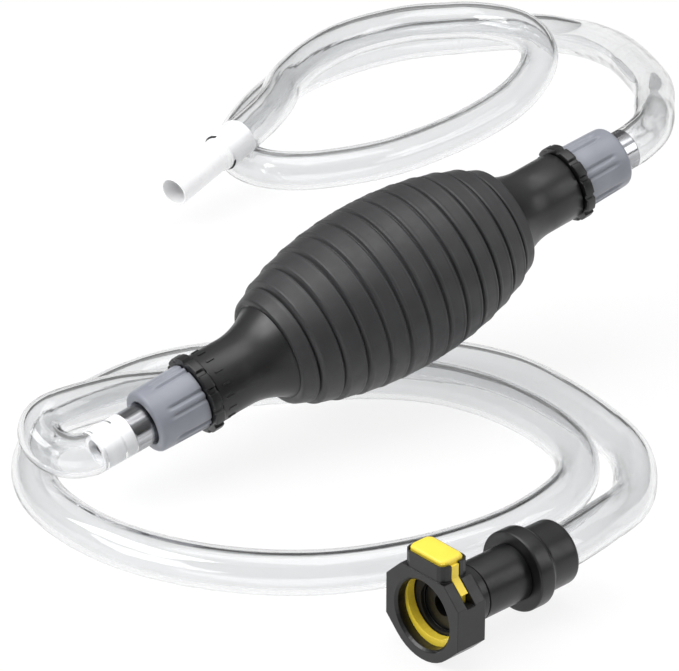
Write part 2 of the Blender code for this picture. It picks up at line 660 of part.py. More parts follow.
def coupling_barrel(colours, parent):
    nose = -MOUTH_DEPTH - GAP
    step = -HEAD_LENGTH - GAP
    barrel = step - STEP_LENGTH
    groove = -BARREL_GROOVE_AT
    profile = [
        (nose, 7.0 * MM), (nose, NOSE_R), (step, NOSE_R), (step, STEP_R), (barrel, STEP_R),
        (barrel - 1.2 * MM, BARREL_R + 1.0 * MM), (barrel - 2.4 * MM, BARREL_R),
        (groove + 0.5 * MM, BARREL_R), (groove + 0.3 * MM, BARREL_R - 0.4 * MM),
        (groove - 0.3 * MM, BARREL_R - 0.4 * MM), (groove - 0.5 * MM, BARREL_R),
        (-BARREL_END, BARREL_R), (-BARREL_END, TAIL_R),
        (-TAIL_END, TAIL_R), (-TAIL_END, STEM_R),
        (-BARB_END + 1.0 * MM, STEM_R), (-BARB_END, STEM_R - 0.8 * MM), (-BARB_END, FLOW_R - 0.6 * MM),
        (nose - 4.0 * MM, FLOW_R - 0.6 * MM), (nose - 4.0 * MM, 7.0 * MM),
    ]
    turned("coupling_barrel", profile, 24, colours["black"], parent)


def coupling_hose_nut(colours, parent):
    front = -BARREL_END - GAP
    thread_r = TAIL_R + GAP
    cavity_r = RING_HOLE_R + TAIL_GRIP_WALL + GAP
    cavity_front = -TAIL_END
    cavity_back = -(TAIL_GRIP_AT + TAIL_GRIP_LENGTH + GAP)
    profile = [
        (front, thread_r), (front, COLLAR_R - 0.6 * MM), (front - 0.6 * MM, COLLAR_R),
        (-COLLAR_END, COLLAR_R),
        (-COLLAR_END - 0.8 * MM, SLEEVE_R + 1.6 * MM), (-COLLAR_END - 2.6 * MM, SLEEVE_R),
        (-SLEEVE_END + 2.0 * MM, SLEEVE_R), (-SLEEVE_END + 0.6 * MM, SLEEVE_R - 0.7 * MM),
        (-SLEEVE_END, SLEEVE_R - 2.0 * MM), (-SLEEVE_END, RING_HOLE_R + 0.2 * MM),
        (cavity_back, RING_HOLE_R + 0.2 * MM), (cavity_back, cavity_r),
        (cavity_front, cavity_r), (cavity_front, thread_r),
    ]
    turned("coupling_hose_nut", profile, 24, colours["black"], parent)


def coupling_small_parts(colours, parent):
    back = -MOUTH_DEPTH + GAP
    front = back + SEAL_THICK
    inner = NOSE_R + 0.5 * MM
    profile = [(front, inner), (front, MOUTH_R - GAP), (back, MOUTH_R - GAP), (back, inner)]
    turned("coupling_seal", profile, 24, colours["seal"], parent)
    grip_ring("coupling_grip_ring", -TAIL_GRIP_AT, -TAIL_GRIP_LENGTH, TAIL_GRIP_WALL, colours["white"],
              parent)
    hose_cuff("coupling_hose_cuff", -TAIL_END - GAP, -BARB_END, colours["hose"], parent)


# ------------------------------------------------------------------ nozzle
def nozzle(colours, parent):
    ring = NOZZLE_RING
    profile = [
        (-NOZZLE_INSERT, FLOW_R), (-NOZZLE_INSERT, STEM_R), (GAP, STEM_R), (GAP, NOZZLE_RING_R),
        (GAP + ring, NOZZLE_RING_R), (GAP + ring, NOZZLE_RING_R - 0.3 * MM),
        (GAP + 2 * ring, NOZZLE_RING_R - 0.3 * MM), (GAP + 2 * ring, NOZZLE_R),
        (NOZZLE_LENGTH, NOZZLE_TIP_R), (NOZZLE_LENGTH, NOZZLE_BORE_R), (4 * ring, NOZZLE_BORE_R),
        (2 * ring, FLOW_R),
    ]
    turned("outlet_nozzle", profile, 24, colours["white"], parent)
    hose_cuff("nozzle_hose_cuff", -NOZZLE_INSERT, 0.0, colours["hose"], parent)


# ------------------------------------------------------------------ assembly
def main():
    clear_scene()
    colours = {
        "black": material("black_plastic", (0.02, 0.02, 0.022), 0.45),
        "rubber": material("black_rubber", (0.03, 0.03, 0.032), 0.7),
        "grey": material("grey_plastic", (0.36, 0.38, 0.43), 0.4),
        "steel": material("polished_steel", (0.7, 0.7, 0.7), 0.2, 1.0),
        "white": material("white_plastic", (0.85, 0.85, 0.85), 0.35),
        "ball": material("valve_ball", (0.5, 0.1, 0.05), 0.3),
        "seal": material("seal_rubber", (0.01, 0.01, 0.01), 0.8),
        "hose": material("clear_hose", (0.8, 0.82, 0.84), 0.1),
        "yellow": material("yellow_plastic", (0.95, 0.78, 0.05), 0.35),
        "guide": material("guide", (0.5, 0.5, 0.5), 1.0),
    }
    bulb_centre = PLAN_SHIFT + Vector((0.0, 0.0, BULB_HEIGHT))
    bulb_axis = empty("bulb_axis", bulb_centre, (0.0, -BULB_TILT, 0.0))
    turned("squeeze_bulb", bulb_profile(), 20, colours["rubber"], bulb_axis)
    ends = {
        "suction": empty("suction_end", (0.0, 0.0, 0.0), (0.0, 0.0, math.pi), bulb_axis),
        "discharge": empty("discharge_end", (0.0, 0.0, 0.0), (0.0, 0.0, 0.0), bulb_axis),
    }
    for side, parent in ends.items():
        pump_end(side, parent, colours)

    coupling = empty("coupling_axis", PLAN_SHIFT + COUPLING_MOUTH, (0.0, 0.0, COUPLING_YAW))
    coupling_head(colours, coupling)
    latch_plate(colours, coupling)
    latch_spring(colours, coupling)
    coupling_barrel(colours, coupling)
    coupling_hose_nut(colours, coupling)
    coupling_small_parts(colours, coupling)

    nozzle_axis = empty("nozzle_axis", PLAN_SHIFT + NOZZLE_BASE, (0.0, NOZZLE_DIP, NOZZLE_YAW))
    nozzle(colours, nozzle_axis)

    # Each free run starts and ends straight, in line with the piece that holds it.
    bpy.context.view_layer.update()
    start = straight_piece(ends["suction"], CUFF_END["suction"] + GAP, 1.0)
    end = straight_piece(coupling, -BARB_END - GAP, -1.0)
    route = [PLAN_SHIFT + Vector(point) * MM for point in SUCTION_ROUTE]
    hose_run("suction_hose", start + route + end[::-1], colours["hose"])
    start = straight_piece(ends["discharge"], CUFF_END["discharge"] + GAP, 1.0)
    end = straight_piece(nozzle_axis, -NOZZLE_INSERT - GAP, -1.0)
    route = [PLAN_SHIFT + Vector(point) * MM for point in DISCHARGE_ROUTE]
    hose_run("discharge_hose", start + route + end[::-1], colours["hose"])


main()
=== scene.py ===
"""Looks of the gravel vacuum siphon: a ribbed squeeze bulb with two clear hoses.

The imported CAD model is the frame. Every round piece is turned about its own axis in fine steps,
each hose is one hollow tube along its route, and every surface has a procedural material.
"""

import math

import bmesh
import bpy
from mathutils import Matrix, Vector

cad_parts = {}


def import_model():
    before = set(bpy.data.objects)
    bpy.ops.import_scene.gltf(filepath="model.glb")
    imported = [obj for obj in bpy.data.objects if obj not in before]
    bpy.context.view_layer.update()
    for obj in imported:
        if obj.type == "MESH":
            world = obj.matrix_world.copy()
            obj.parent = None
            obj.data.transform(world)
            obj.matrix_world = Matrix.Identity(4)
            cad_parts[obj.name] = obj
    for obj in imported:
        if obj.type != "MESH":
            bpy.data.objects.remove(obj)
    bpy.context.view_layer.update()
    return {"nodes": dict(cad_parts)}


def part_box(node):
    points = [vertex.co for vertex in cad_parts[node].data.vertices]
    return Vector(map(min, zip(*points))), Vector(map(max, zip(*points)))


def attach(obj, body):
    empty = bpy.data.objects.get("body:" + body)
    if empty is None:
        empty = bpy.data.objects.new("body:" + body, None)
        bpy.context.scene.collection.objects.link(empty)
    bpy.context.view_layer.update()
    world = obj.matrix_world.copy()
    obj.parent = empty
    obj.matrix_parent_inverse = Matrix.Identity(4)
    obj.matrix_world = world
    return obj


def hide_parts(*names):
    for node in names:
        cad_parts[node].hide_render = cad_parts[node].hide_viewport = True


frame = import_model()

MM = 0.001

# Where the assembly lies, as in the CAD source
PLAN_SHIFT = Vector((6.8, 66.9, 0.0)) * MM
BULB_TILT = math.radians(12.0)
COUPLING_MOUTH = PLAN_SHIFT + Vector((-95.5, -149.3, 17.0)) * MM
COUPLING_YAW = math.radians(186.0)
NOZZLE_BASE = PLAN_SHIFT + Vector((47.7, 176.8, 22.0)) * MM
NOZZLE_YAW = math.radians(197.0)
NOZZLE_DIP = math.radians(11.0)

# Hose
HOSE_R = 8.0 * MM
HOSE_BORE_R = 6.0 * MM
HELD_R = 6.03 * MM  # what the hose grips shows no air between

# Stations along the pump's axis, out from the middle of the bulb
NECK_END = 84.0 * MM
FLANGE_AT = 84.3 * MM
SPIGOT_AT = 88.3 * MM
NUT_AT = 88.6 * MM
SPIGOT_END = 98.3 * MM
STEM_AT = 100.1 * MM
CUFF_AT = 101.9 * MM
GRIP_AT = 102.9 * MM
NUT_END = 109.2 * MM
STEM_END = 117.0 * MM
VALVE_END = 131.0 * MM
GAP = 0.3 * MM

# Stations back from the coupling's mouth
HEAD_BACK = 12.8 * MM
BARREL_END = 41.5 * MM
COLLAR_END = 48.5 * MM
TAIL_END = 47.5 * MM
CUFF_FRONT = 47.8 * MM
TAIL_GRIP_AT = 50.5 * MM
TAIL_GRIP_END = 55.8 * MM
BARB_END = 60.0 * MM
SLEEVE_END = 63.0 * MM

# Radii that more than one piece is turned to
FLOW_R = 4.6 * MM  # the way through a neck fitting and its stem
SPIGOT_R = 9.8 * MM
STEM_FLANGE_R = 8.3 * MM
SLEEVE_BORE_R = 8.4 * MM
RELIEF_R = 8.0 * MM  # inside the coupling's tail thread
BARREL_R = 10.3 * MM

# Nozzle: lengths run out from the end of the hose
NOZZLE_INSERT = 14.0 * MM
NOZZLE_LENGTH = 31.0 * MM
NOZZLE_SIDES = 128

# Free runs of the two hoses, in millimetres from the middle of the bulb's shadow
SUCTION_ROUTE = (
    (-137, 2.1, 21.8), (-141.5, 7.6, 23.7), (-141.9, 14.5, 25.6), (-138.2, 20, 27.4),
    (-132.4, 22.1, 28.5), (-118, 24, 27.2), (-98, 29, 22.6), (-80, 32.5, 16.8),
    (-66, 33.5, 12.8), (-52, 31.5, 9.9), (-38, 27, 8.5), (-22, 19.5, 8.2), (-2.5, 8.3, 8.2),
    (13.5, -6.5, 8.2), (23.5, -24, 8.2), (28.2, -42.5, 8.2), (29, -62, 8.2), (24.5, -82, 8.2),
    (11.6, -98.2, 8.2), (-7.6, -106.9, 8.2), (-33, -111, 8.2), (-66, -107.5, 8.2),
    (-100, -94, 8.2), (-126.8, -69.9, 8.2), (-144, -39, 8.2), (-148.8, -6, 8.2),
    (-141.5, 20.5, 8.2), (-123, 41, 8.2), (-97.2, 52.9, 8.2), (-64, 57, 8.2), (-32, 47, 8.2),
    (0, 27.5, 8.2), (27.5, 4, 8.2), (42.6, -21, 8.2), (46, -46, 8.2), (45, -72, 8.2),
    (39.2, -96.1, 8.2), (19.7, -120.2, 9.6), (-6.4, -134.6, 14.9), (-28.5, -142.2, 17),
)
DISCHARGE_ROUTE = (
    (126, 2.5, 76), (136, 11, 75.2), (148, 25, 71.5), (170.6, 52.3, 64), (196.8, 93.8, 51),
    (217.4, 127.9, 39), (233.1, 157.2, 28), (244.2, 181.9, 19), (247.4, 200.2, 13.5),
    (245.3, 216.4, 10.2), (235.1, 228.2, 8.6), (216.2, 237.7, 8.2), (193.1, 246.4, 8.2),
    (163.5, 248.2, 8.2), (133.1, 243, 8.2), (101.9, 227.8, 8.2), (78, 209, 8.2), (68, 194, 8.2),
    (69, 180, 8.2), (77.9, 169.2, 8.2), (93.5, 161.4, 8.2), (118.8, 156, 8.2), (147.4, 157.4, 8.4),
    (169.9, 160, 10), (188.5, 163.3, 13), (204.4, 169.9, 17), (214.1, 177.4, 21),
    (218.8, 189.1, 24), (218.3, 202.4, 25), (209.5, 217.9, 24.6), (198.5, 224.9, 24.5),
    (183.2, 232, 24.5), (156.5, 234.3, 24.5), (131.2, 227.2, 24.8), (104.8, 211.3, 25.6),
    (91, 198, 26.6), (76.5, 187.5, 26.8),
)
STRAIGHT = 1.5 * MM  # straight piece at each end of a free run

low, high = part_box("squeeze_bulb")
BULB_CENTRE = (Vector(low) + Vector(high)) / 2
PUMP = Matrix.Translation(BULB_CENTRE) @ Matrix.Rotation(-BULB_TILT, 4, "Y")
ENDS = {
    "suction": PUMP @ Matrix.Rotation(math.pi, 4, "Z"),
    "discharge": PUMP,
}
COUPLING = Matrix.Translation(COUPLING_MOUTH) @ Matrix.Rotation(COUPLING_YAW, 4, "Z")
NOZZLE = (
    Matrix.Translation(NOZZLE_BASE)
    @ Matrix.Rotation(NOZZLE_YAW, 4, "Z")
    @ Matrix.Rotation(NOZZLE_DIP, 4, "Y")
)


# ------------------------------------------------------------------ camera
VIEW_AZIMUTH = math.radians(-36.0)
VIEW_ELEVATION = math.radians(28.0)
VIEW_DISTANCE = 1.6
SENSOR_WIDTH = 36.0
LENS = 220.6


def camera():
    """The main view, from the front left and above, through a long lens."""
    target = PLAN_SHIFT + Vector((18.1, 53.7, 0.0)) * MM
    back = Vector((
        math.sin(VIEW_AZIMUTH) * math.cos(VIEW_ELEVATION),
        -math.cos(VIEW_AZIMUTH) * math.cos(VIEW_ELEVATION),
        math.sin(VIEW_ELEVATION),
    ))
    data = bpy.data.cameras.new("camera")
    data.sensor_width = SENSOR_WIDTH
    data.lens = LENS
    made = bpy.data.objects.new("camera", data)
    made.location = target + back * VIEW_DISTANCE
    made.rotation_euler = back.to_track_quat("Z", "Y").to_euler()
    bpy.context.collection.objects.link(made)
    bpy.context.scene.camera = made


# ------------------------------------------------------------------ mesh helpers
def finish_mesh(name, vertices, faces, where, materials, sharp_degrees=40.0):
    mesh = bpy.data.meshes.new(name)
    mesh.from_pydata(vertices, [], faces)
    bm = bmesh.new()
    bm.from_mesh(mesh)
    bmesh.ops.remove_doubles(bm, verts=bm.verts, dist=0.0005 * MM)
    bmesh.ops.recalc_face_normals(bm, faces=bm.faces)
    bm.to_mesh(mesh)
    bm.free()
    mesh.shade_smooth()
    mesh.set_sharp_from_angle(angle=math.radians(sharp_degrees))
    for item in materials:
        mesh.materials.append(item)
    made = bpy.data.objects.new(name, mesh)
    made.matrix_world = where
    bpy.context.collection.objects.link(made)
    return made


def lathe(name, profile, sides, where, materials, radius_at=None, sharp_degrees=40.0):
    """Turn a closed (x, radius) outline about X; radius_at may shape the radius by angle."""
    vertices, faces = [], []
    count = len(profile)
    for step in range(sides):
        angle = 2.0 * math.pi * step / sides
        for x, radius in profile:
            r = radius_at(x, radius, angle) if radius_at else radius
            vertices.append((x, r * math.cos(angle), r * math.sin(angle)))
    for step in range(sides):
        here, there = step * count, (step + 1) % sides * count
        for k in range(count):
            after = (k + 1) % count
            faces.append((here + k, here + after, there + after, there + k))
    return finish_mesh(name, vertices, faces, where, materials, sharp_degrees)


def fillet(points, radii, steps=5):
    """Round the corners of a closed outline; a radius of 0 keeps a corner sharp."""
    rounded = []
    count = len(points)
    for k, (point, radius) in enumerate(zip(points, radii)):
        at = Vector(point)
        before = Vector(points[k - 1]) - at
        after = Vector(points[(k + 1) % count]) - at
        reach = min(radius, 0.49 * before.length, 0.49 * after.length)
        if reach <= 0.0:
            rounded.append(tuple(at))
            continue
        start = at + before.normalized() * reach
        end = at + after.normalized() * reach
        for step in range(steps + 1):
            t = step / steps
            rounded.append(tuple(start.lerp(at, t).lerp(at.lerp(end, t), t)))
    return rounded


def smooth_step(x):
    x = max(0.0, min(1.0, x))
    return x * x * (3.0 - 2.0 * x)


# ------------------------------------------------------------------ hoses
HOSE_STEP = 1.6 * MM
HOSE_SIDES = 40
CURVE_PARTS = 24  # points on the curve between two route points
HELD_STEPS = 8  # rings of the tube on what it is pushed over
EASE_ROUNDS = 8
UV_LENGTH = 0.05  # hose length that one unit of its UV covers


def smooth_route(points, step):
    """Evenly spaced points on a Catmull-Rom curve, between straight first and last pieces."""
    fine = []
    for k in range(1, len(points) - 2):
        p0, p1, p2, p3 = points[k - 1 : k + 3]
        for part in range(CURVE_PARTS):
            t = part / CURVE_PARTS
            fine.append(
                0.5 * (2 * p1 + (p2 - p0) * t + (2 * p0 - 5 * p1 + 4 * p2 - p3) * t * t
                       + (3 * p1 - p0 - 3 * p2 + p3) * t ** 3)
            )
    fine.append(points[-2])
    fine = [points[0]] + fine + [points[-1]]
    reach = [0.0]
    for here, there in zip(fine, fine[1:]):
        reach.append(reach[-1] + (there - here).length)
    count = round(reach[-1] / step)
    spaced, k = [], 0
    for n in range(count + 1):
        want = reach[-1] * n / count
        while k < len(reach) - 2 and reach[k + 1] < want:
            k += 1
        share = (want - reach[k]) / (reach[k + 1] - reach[k])
        spaced.append(fine[k].lerp(fine[k + 1], min(1.0, share)))
    return spaced


def relaxed(points, rounds, keep):
    """Ease small unevenness out of a line without moving its first and last points."""
    for _ in range(rounds):
        eased = list(points)
        for k in range(keep, len(points) - keep):
            eased[k] = points[k] * 0.5 + (points[k - 1] + points[k + 1]) * 0.25
        points = eased
    return points


def hose(name, start, start_x, start_cuff, end, end_x, end_cuff, route, finish):
    """One hollow tube from inside its first holder to its last; returns it and its centreline."""
    head = [start @ Vector((x, 0.0, 0.0)) for x in (start_x, start_x + STRAIGHT)]
    tail = [end @ Vector((x, 0.0, 0.0)) for x in (end_x - STRAIGHT, end_x)]
    free = smooth_route(
        head + [PLAN_SHIFT + Vector(point) * MM for point in route] + tail, HOSE_STEP
    )
    free = relaxed(free, EASE_ROUNDS, 2)
    first = [
        start @ Vector((start_cuff + (start_x - start_cuff) * k / HELD_STEPS, 0.0, 0.0))
        for k in range(HELD_STEPS)
    ]
    last = [
        end @ Vector((end_x + (end_cuff - end_x) * k / HELD_STEPS, 0.0, 0.0))
        for k in range(1, HELD_STEPS + 1)
    ]
    line = first + free + last
    return tube(name, line, finish), line


def tube(name, line, finish):
    """A hollow tube with a wall, carried along the line without twist, with UVs along it."""
    tangents = []
    for k in range(len(line)):
        ahead, behind = line[min(k + 1, len(line) - 1)], line[max(k - 1, 0)]
        tangents.append((ahead - behind).normalized())
    across = tangents[0].orthogonal().normalized()
    bm = bmesh.new()
    outer, inner, lengths = [], [], [0.0]
    for k, (at, tangent) in enumerate(zip(line, tangents)):
        across = (across - tangent * across.dot(tangent)).normalized()
        upright = tangent.cross(across)
        rings = ([], [])
        for s in range(HOSE_SIDES):
            angle = 2.0 * math.pi * s / HOSE_SIDES
            way = across * math.cos(angle) + upright * math.sin(angle)
            rings[0].append(bm.verts.new(at + way * HOSE_R))
            rings[1].append(bm.verts.new(at + way * HOSE_BORE_R))
        outer.append(rings[0])
        inner.append(rings[1])
        if k:
            lengths.append(lengths[-1] + (at - line[k - 1]).length)
    layer = bm.loops.layers.uv.new("along")
    for k in range(len(line) - 1):
        for s in range(HOSE_SIDES):
            t = (s + 1) % HOSE_SIDES
            for ring, turn in ((outer, False), (inner, True)):
                corners = [
                    (ring[k][s], s, k), (ring[k][t], s + 1, k),
                    (ring[k + 1][t], s + 1, k + 1), (ring[k + 1][s], s, k + 1),
                ]
                if turn:
                    corners.reverse()
                face = bm.faces.new([c[0] for c in corners])
                for loop, (_, u, v) in zip(face.loops, corners):
                    loop[layer].uv = (u / HOSE_SIDES, lengths[v] / UV_LENGTH)
    for end in (0, -1):
        for s in range(HOSE_SIDES):
            t = (s + 1) % HOSE_SIDES
            corners = [outer[end][s], inner[end][s], inner[end][t], outer[end][t]]
            if end:
                corners.reverse()
            bm.faces.new(corners)
    bmesh.ops.recalc_face_normals(bm, faces=bm.faces)
    mesh = bpy.data.meshes.new(name)
    bm.to_mesh(mesh)
    bm.free()
    mesh.shade_smooth()
    mesh.set_sharp_from_angle(angle=math.radians(50.0))
    mesh.materials.append(finish)
    made = bpy.data.objects.new(name, mesh)
    bpy.context.collection.objects.link(made)
    return made


# ------------------------------------------------------------------ materials
class Shader:
    """A Principled material and short calls for its node tree."""

    def __init__(self, name, colour, roughness, metallic=0.0, specular=0.5):
        self.material = bpy.data.materials.new(name)
        self.material.use_nodes = True
        self.tree = self.material.node_tree
        self.surface = self.tree.nodes["Principled BSDF"]
        self.surface.inputs["Base Color"].default_value = (*colour, 1.0)
        self.surface.inputs["Roughness"].default_value = roughness
        self.surface.inputs["Metallic"].default_value = metallic
        self.surface.inputs["Specular IOR Level"].default_value = specular
        self.normal = None

    def node(self, kind, **values):
        made = self.tree.nodes.new(kind)
        for key, value in values.items():
            if key in made.inputs:
                made.inputs[key].default_value = value
            else:
                setattr(made, key, value)
        return made

    def link(self, source, target):
        self.tree.links.new(source, target)

    def place(self, stretch=(1.0, 1.0, 1.0), source="Object"):
        coordinates = self.node("ShaderNodeTexCoord")
        mapping = self.node("ShaderNodeMapping", Scale=stretch)
        self.link(coordinates.outputs[source], mapping.inputs["Vector"])
        return mapping.outputs["Vector"]

    def noise(self, scale, detail=4.0, vector=None, rough=0.5):
        made = self.node("ShaderNodeTexNoise", Scale=scale, Detail=detail, Roughness=rough)
        self.link(vector or self.place(), made.inputs["Vector"])
        return made.outputs["Fac"]

    def spread(self, value, low, high):
        made = self.node("ShaderNodeMapRange")
        made.inputs["From Min"].default_value = 0.3
        made.inputs["From Max"].default_value = 0.7
        made.inputs["To Min"].default_value = low
        made.inputs["To Max"].default_value = high
        self.link(value, made.inputs["Value"])
        return made.outputs["Result"]

    # Sets the base colour from a ramp: random tone on plastics and rubber, painted reflection
    # streaks on plated steel.
    def mottle_and_painted_reflection(self, value, dark, light):
        ramp = self.node("ShaderNodeValToRGB")
        ramp.color_ramp.elements[0].position = 0.3
        ramp.color_ramp.elements[0].color = (*dark, 1.0)
        ramp.color_ramp.elements[1].position = 0.7
        ramp.color_ramp.elements[1].color = (*light, 1.0)
        self.link(value, ramp.inputs["Fac"])
        self.link(ramp.outputs["Color"], self.surface.inputs["Base Color"])

    def bump(self, height, strength, distance):
        made = self.node("ShaderNodeBump", Strength=strength, Distance=distance)
        self.link(height, made.inputs["Height"])
        if self.normal:
            self.link(self.normal, made.inputs["Normal"])
        self.normal = made.outputs["Normal"]
        self.link(self.normal, self.surface.inputs["Normal"])

    def soft_edges(self, radius):
        made = self.node("ShaderNodeBevel", samples=6, Radius=radius)
        self.normal = made.outputs["Normal"]
        self.link(self.normal, self.surface.inputs["Normal"])


def moulded(name, dark, light, roughness, grain=1500.0, edge=0.0, specular=0.5):
    """Moulded plastic or rubber: slight colour and gloss variation over a fine moulded grain."""
    shader = Shader(name, light, roughness, specular=specular)
    if edge:
        shader.soft_edges(edge)
    shader.mottle_and_painted_reflection(shader.noise(90.0, 5.0), dark, light)
    shader.link(
        shader.spread(shader.noise(240.0, 6.0), roughness * 0.88, roughness * 1.12),
        shader.surface.inputs["Roughness"],
    )
    shader.bump(shader.noise(grain, 3.0), 0.25, 0.00006)
    return shader.material


def clear_pvc():
    """Clear soft PVC with faint draw lines along the hose; lamps reach through it."""
    shader = Shader("clear_pvc", (0.895, 0.9, 0.905), 0.03)
    shader.surface.inputs["Transmission Weight"].default_value = 1.0
    shader.surface.inputs["IOR"].default_value = 1.45
    lines = shader.noise(1.0, 3.0, shader.place((9.0, 0.35, 1.0), "UV"))
    waves = shader.noise(55.0, 2.0)
    shader.bump(lines, 0.35, 0.00035)
    shader.bump(waves, 0.08, 0.0008)
    shader.link(
        shader.spread(shader.noise(70.0, 4.0), 0.015, 0.06), shader.surface.inputs["Roughness"]
    )
    path = shader.node("ShaderNodeLightPath")
    passing = shader.node("ShaderNodeBsdfTransparent", Color=(0.965, 0.967, 0.97, 1.0))
    mixed = shader.node("ShaderNodeMixShader")
    output = shader.tree.nodes["Material Output"]
    shader.link(path.outputs["Is Shadow Ray"], mixed.inputs[0])
    shader.link(shader.surface.outputs["BSDF"], mixed.inputs[1])
    shader.link(passing.outputs["BSDF"], mixed.inputs[2])
    shader.link(mixed.outputs["Shader"], output.inputs["Surface"])
    return shader.material


def plated():
    """Polished plated steel with faint turning lines round it; its colour carries painted
    reflection, dark and bright streaks along it.
    """
    shader = Shader("plated_steel", (0.62, 0.63, 0.65), 0.14, metallic=1.0)
    rings = shader.noise(900.0, 2.0, shader.place((1.0, 0.02, 0.02)))
    shader.bump(rings, 0.12, 0.00004)
    # Painted reflection: dark and bright streaks running along the steel, put in its colour in
    # place of the studio mirrored in it.
    painted_reflection_bands = shader.noise(260.0, 2.0, shader.place((0.05, 1.0, 1.0)))
    shader.mottle_and_painted_reflection(painted_reflection_bands, (0.16, 0.16, 0.17), (0.85, 0.86, 0.88))
    return shader.material


def frosted():
    """White half-clear plastic of the valve cartridges."""
    shader = Shader("frosted_white", (0.93, 0.93, 0.94), 0.25)
    shader.surface.inputs["Subsurface Weight"].default_value = 0.3
    shader.surface.inputs["Subsurface Radius"].default_value = (0.002, 0.002, 0.002)
    shader.mottle_and_painted_reflection(shader.noise(140.0, 3.0), (0.82, 0.83, 0.85), (0.95, 0.95, 0.96))
    shader.bump(shader.noise(900.0, 3.0), 0.2, 0.00005)
    return shader.material


BLACK_DARK = (0.004, 0.004, 0.0043)
BLACK_LIGHT = (0.008, 0.008, 0.0085)


def make_materials():
    return {
        "rubber": moulded(
            "bulb_rubber", (0.023, 0.023, 0.0245), (0.033, 0.033, 0.035), 0.48, 1800.0
        ),
        "neck": moulded("neck_rubber", (0.008, 0.008, 0.0085), (0.012, 0.012, 0.013), 0.36, 1200.0),
        "black": moulded("black_plastic", BLACK_DARK, BLACK_LIGHT, 0.34, 1600.0),
        "black_edged": moulded("black_plastic_body", BLACK_DARK, BLACK_LIGHT, 0.34, 1600.0, 0.0004),
        "grey": moulded("grey_plastic", (0.225, 0.236, 0.272), (0.26, 0.272, 0.31), 0.36, 1300.0),
        "yellow": moulded(
            "yellow_plastic", (0.86, 0.65, 0.05), (0.93, 0.72, 0.07), 0.34, 1500.0, 0.0003
        ),
        "white": moulded("white_plastic", (0.86, 0.86, 0.87), (0.92, 0.92, 0.93), 0.3, 1400.0),
        "inside": moulded("dark_plastic", (0.02, 0.02, 0.02), (0.04, 0.04, 0.04), 0.5),
        "seal": moulded("seal_rubber", (0.006, 0.006, 0.006), (0.012, 0.012, 0.012), 0.6),
        "frosted": frosted(),
        "plated": plated(),
        "pvc": clear_pvc(),
    }


# ------------------------------------------------------------------ squeeze bulb
BELLY_R = 33.0 * MM
BELLY_HALF = 54.0 * MM
BELLY_SPREAD = 69.2 * MM
BELLY_EDGE = 0.9 * MM  # rounding at each end of the belly
BELLY_STEPS = 620
BULB_SIDES = 160
NECK_R = 13.3 * MM
NECK_BORE_R = 9.3 * MM
NECK_FROM = 70.0 * MM
NECK_STEPS = 24
NECK_CURVE = 2.1  # power of the hollow curve from belly to neck
NECK_STEP = 2.1 * MM  # the neck starts this far below the belly's edge
PLUG_DEPTH = 8.0 * MM  # how deep the neck's mouth is shown
GROOVES = 12
GROOVE_PITCH = 8.6 * MM
GROOVE_DEPTH = 1.15 * MM
GROOVE_HALF = 0.95 * MM
BAND_SLOPE = 0.72  # how much of the belly's slope each band follows; the rest is a step


def belly_radius(x):
    return BELLY_R * math.sqrt(1.0 - (x / BELLY_SPREAD) ** 2)


def band_radius(x):
    """Bands between the grooves, each a little flatter than the belly's curve."""
    band = math.floor(x / GROOVE_PITCH + 0.5 if GROOVES % 2 == 0 else x / GROOVE_PITCH)
    middle = band * GROOVE_PITCH
    middle = max(-BELLY_HALF + 2.0 * MM, min(BELLY_HALF - 2.0 * MM, middle))
    return belly_radius(middle) + BAND_SLOPE * (belly_radius(x) - belly_radius(middle))


def ribbed_radius(x):
    """Radius of the belly with its grooves and their soft lips."""
    nearest = math.floor(x / GROOVE_PITCH) + 0.5
    nearest = max(-(GROOVES - 1) / 2, min((GROOVES - 1) / 2, nearest))
    away = x - nearest * GROOVE_PITCH
    eased = 0.3 * MM
    if abs(away) < eased:
        share = (away + eased) / (2.0 * eased)
        radius = band_radius(x - 2 * eased) * (1.0 - share) + band_radius(x + 2 * eased) * share
    else:
        radius = band_radius(x)
    reach = abs(away) / GROOVE_HALF
    if reach < 1.0:
        radius -= GROOVE_DEPTH * (0.5 + 0.5 * math.cos(math.pi * reach)) ** 0.8
    elif reach < 2.2:
        radius += 0.1 * MM * math.sin(math.pi * (reach - 1.0) / 1.2)
    return radius


